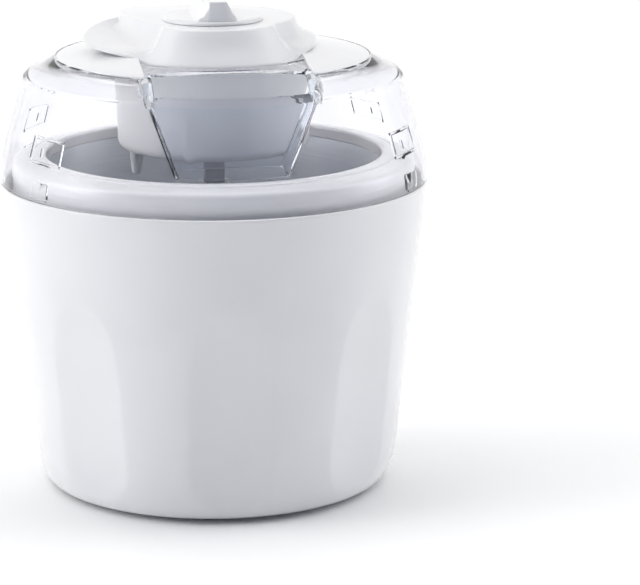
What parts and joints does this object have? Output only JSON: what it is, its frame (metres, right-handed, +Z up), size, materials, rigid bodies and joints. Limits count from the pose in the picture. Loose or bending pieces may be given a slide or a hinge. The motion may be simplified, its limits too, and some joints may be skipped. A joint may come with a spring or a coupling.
{
  "type": "ice cream maker",
  "caption": "Tabletop ice cream maker: tapered housing, lift-out freezer bowl and paddle, clear lid with feed hopper, and a motor unit with a dial on top.",
  "frame": {"origin": "on the table, under the vertical axis of the bowl, at the bottom centre of the object's box", "axes": "+Z up, -Y is the front, where the feed hopper is, +X to the right as seen from the front"},
  "size_m": [0.2256, 0.2256, 0.26],
  "materials": {
    "white_gloss": "moulded gloss",
    "white_satin": "moulded satin",
    "clear": "clear moulded",
    "aluminium": "spun, satin",
    "steel": "machined",
    "brass": "machined",
    "rubber": "matte",
    "grey_rubber": "matte",
    "acetal": "moulded",
    "black_plastic": "moulded",
    "gel": "gel"
  },
  "bodies": {
    "housing": {"housing_shell": "white_gloss", "base_plate": "white_satin", "base_screw_1": "steel", "base_screw_2": "steel", "base_screw_3": "steel", "base_screw_4": "steel", "rubber_foot_1": "rubber", "rubber_foot_2": "rubber", "rubber_foot_3": "rubber", "rubber_foot_4": "rubber"},
    "bowl": {"bowl_outer_wall": "white_satin", "bowl_inner_wall": "aluminium", "bowl_gel": "gel", "bowl_seal_ring": "grey_rubber", "bowl_rim": "white_gloss", "bowl_fill_plug": "grey_rubber"},
    "paddle": {"paddle": "white_satin"},
    "lid": {"lid": "clear"},
    "motor_unit": {"motor_cup": "white_satin", "motor_cover": "white_gloss", "cord_gland": "grey_rubber", "cover_screw_1": "steel", "cover_screw_2": "steel", "cover_screw_3": "steel", "motor_can": "steel", "motor_end_cap": "black_plastic", "gear_plate": "steel", "shaft_bush": "brass", "shaft_seal": "rubber", "idler_axle": "steel", "switch_body": "black_plastic"},
    "dial": {"dial_knob": "white_gloss", "switch_spindle": "steel"},
    "output": {"output_gear": "acetal", "output_shaft": "steel", "drive_coupling": "steel", "shaft_clip": "steel"},
    "idler": {"idler_gear": "acetal"},
    "motor_rotor": {"motor_shaft": "steel", "motor_pinion": "brass"}
  },
  "joints": [
    {"name": "bowl_lift", "type": "slide", "parent": "housing", "child": "bowl", "axis": [0, 0, 1], "range_m": [0, 0.16]},
    {"name": "lid_lift", "type": "slide", "parent": "bowl", "child": "lid", "axis": [0, 0, 1], "range_m": [0, 0.06]},
    {"name": "motor_lift", "type": "slide", "parent": "lid", "child": "motor_unit", "axis": [0, 0, 1], "range_m": [0, 0.09]},
    {"name": "dial_turn", "type": "hinge", "parent": "motor_unit", "child": "dial", "pos_m": [0, 0, 0.2481], "axis": [0, 0, -1], "range_deg": [0, 90]},
    {"name": "paddle_spin", "type": "hinge", "parent": "bowl", "child": "paddle", "pos_m": [0, 0, 0.03], "axis": [0, 0, 1], "continuous": true},
    {"name": "output_spin", "type": "hinge", "parent": "motor_unit", "child": "output", "pos_m": [0, 0, 0.1865], "axis": [0, 0, 1], "continuous": true},
    {"name": "idler_spin", "type": "hinge", "parent": "motor_unit", "child": "idler", "pos_m": [0, 0.026, 0.1865], "axis": [0, 0, 1], "continuous": true},
    {"name": "motor_spin", "type": "hinge", "parent": "motor_unit", "child": "motor_rotor", "pos_m": [-0.02295, 0.01898, 0.1925], "axis": [0, 0, 1], "continuous": true}
  ],
  "couplings": [
    {"joint": "output_spin", "follows": "paddle_spin", "ratio": 1},
    {"joint": "idler_spin", "follows": "paddle_spin", "ratio": -3.3333},
    {"joint": "motor_spin", "follows": "paddle_spin", "ratio": 10}
  ]
}
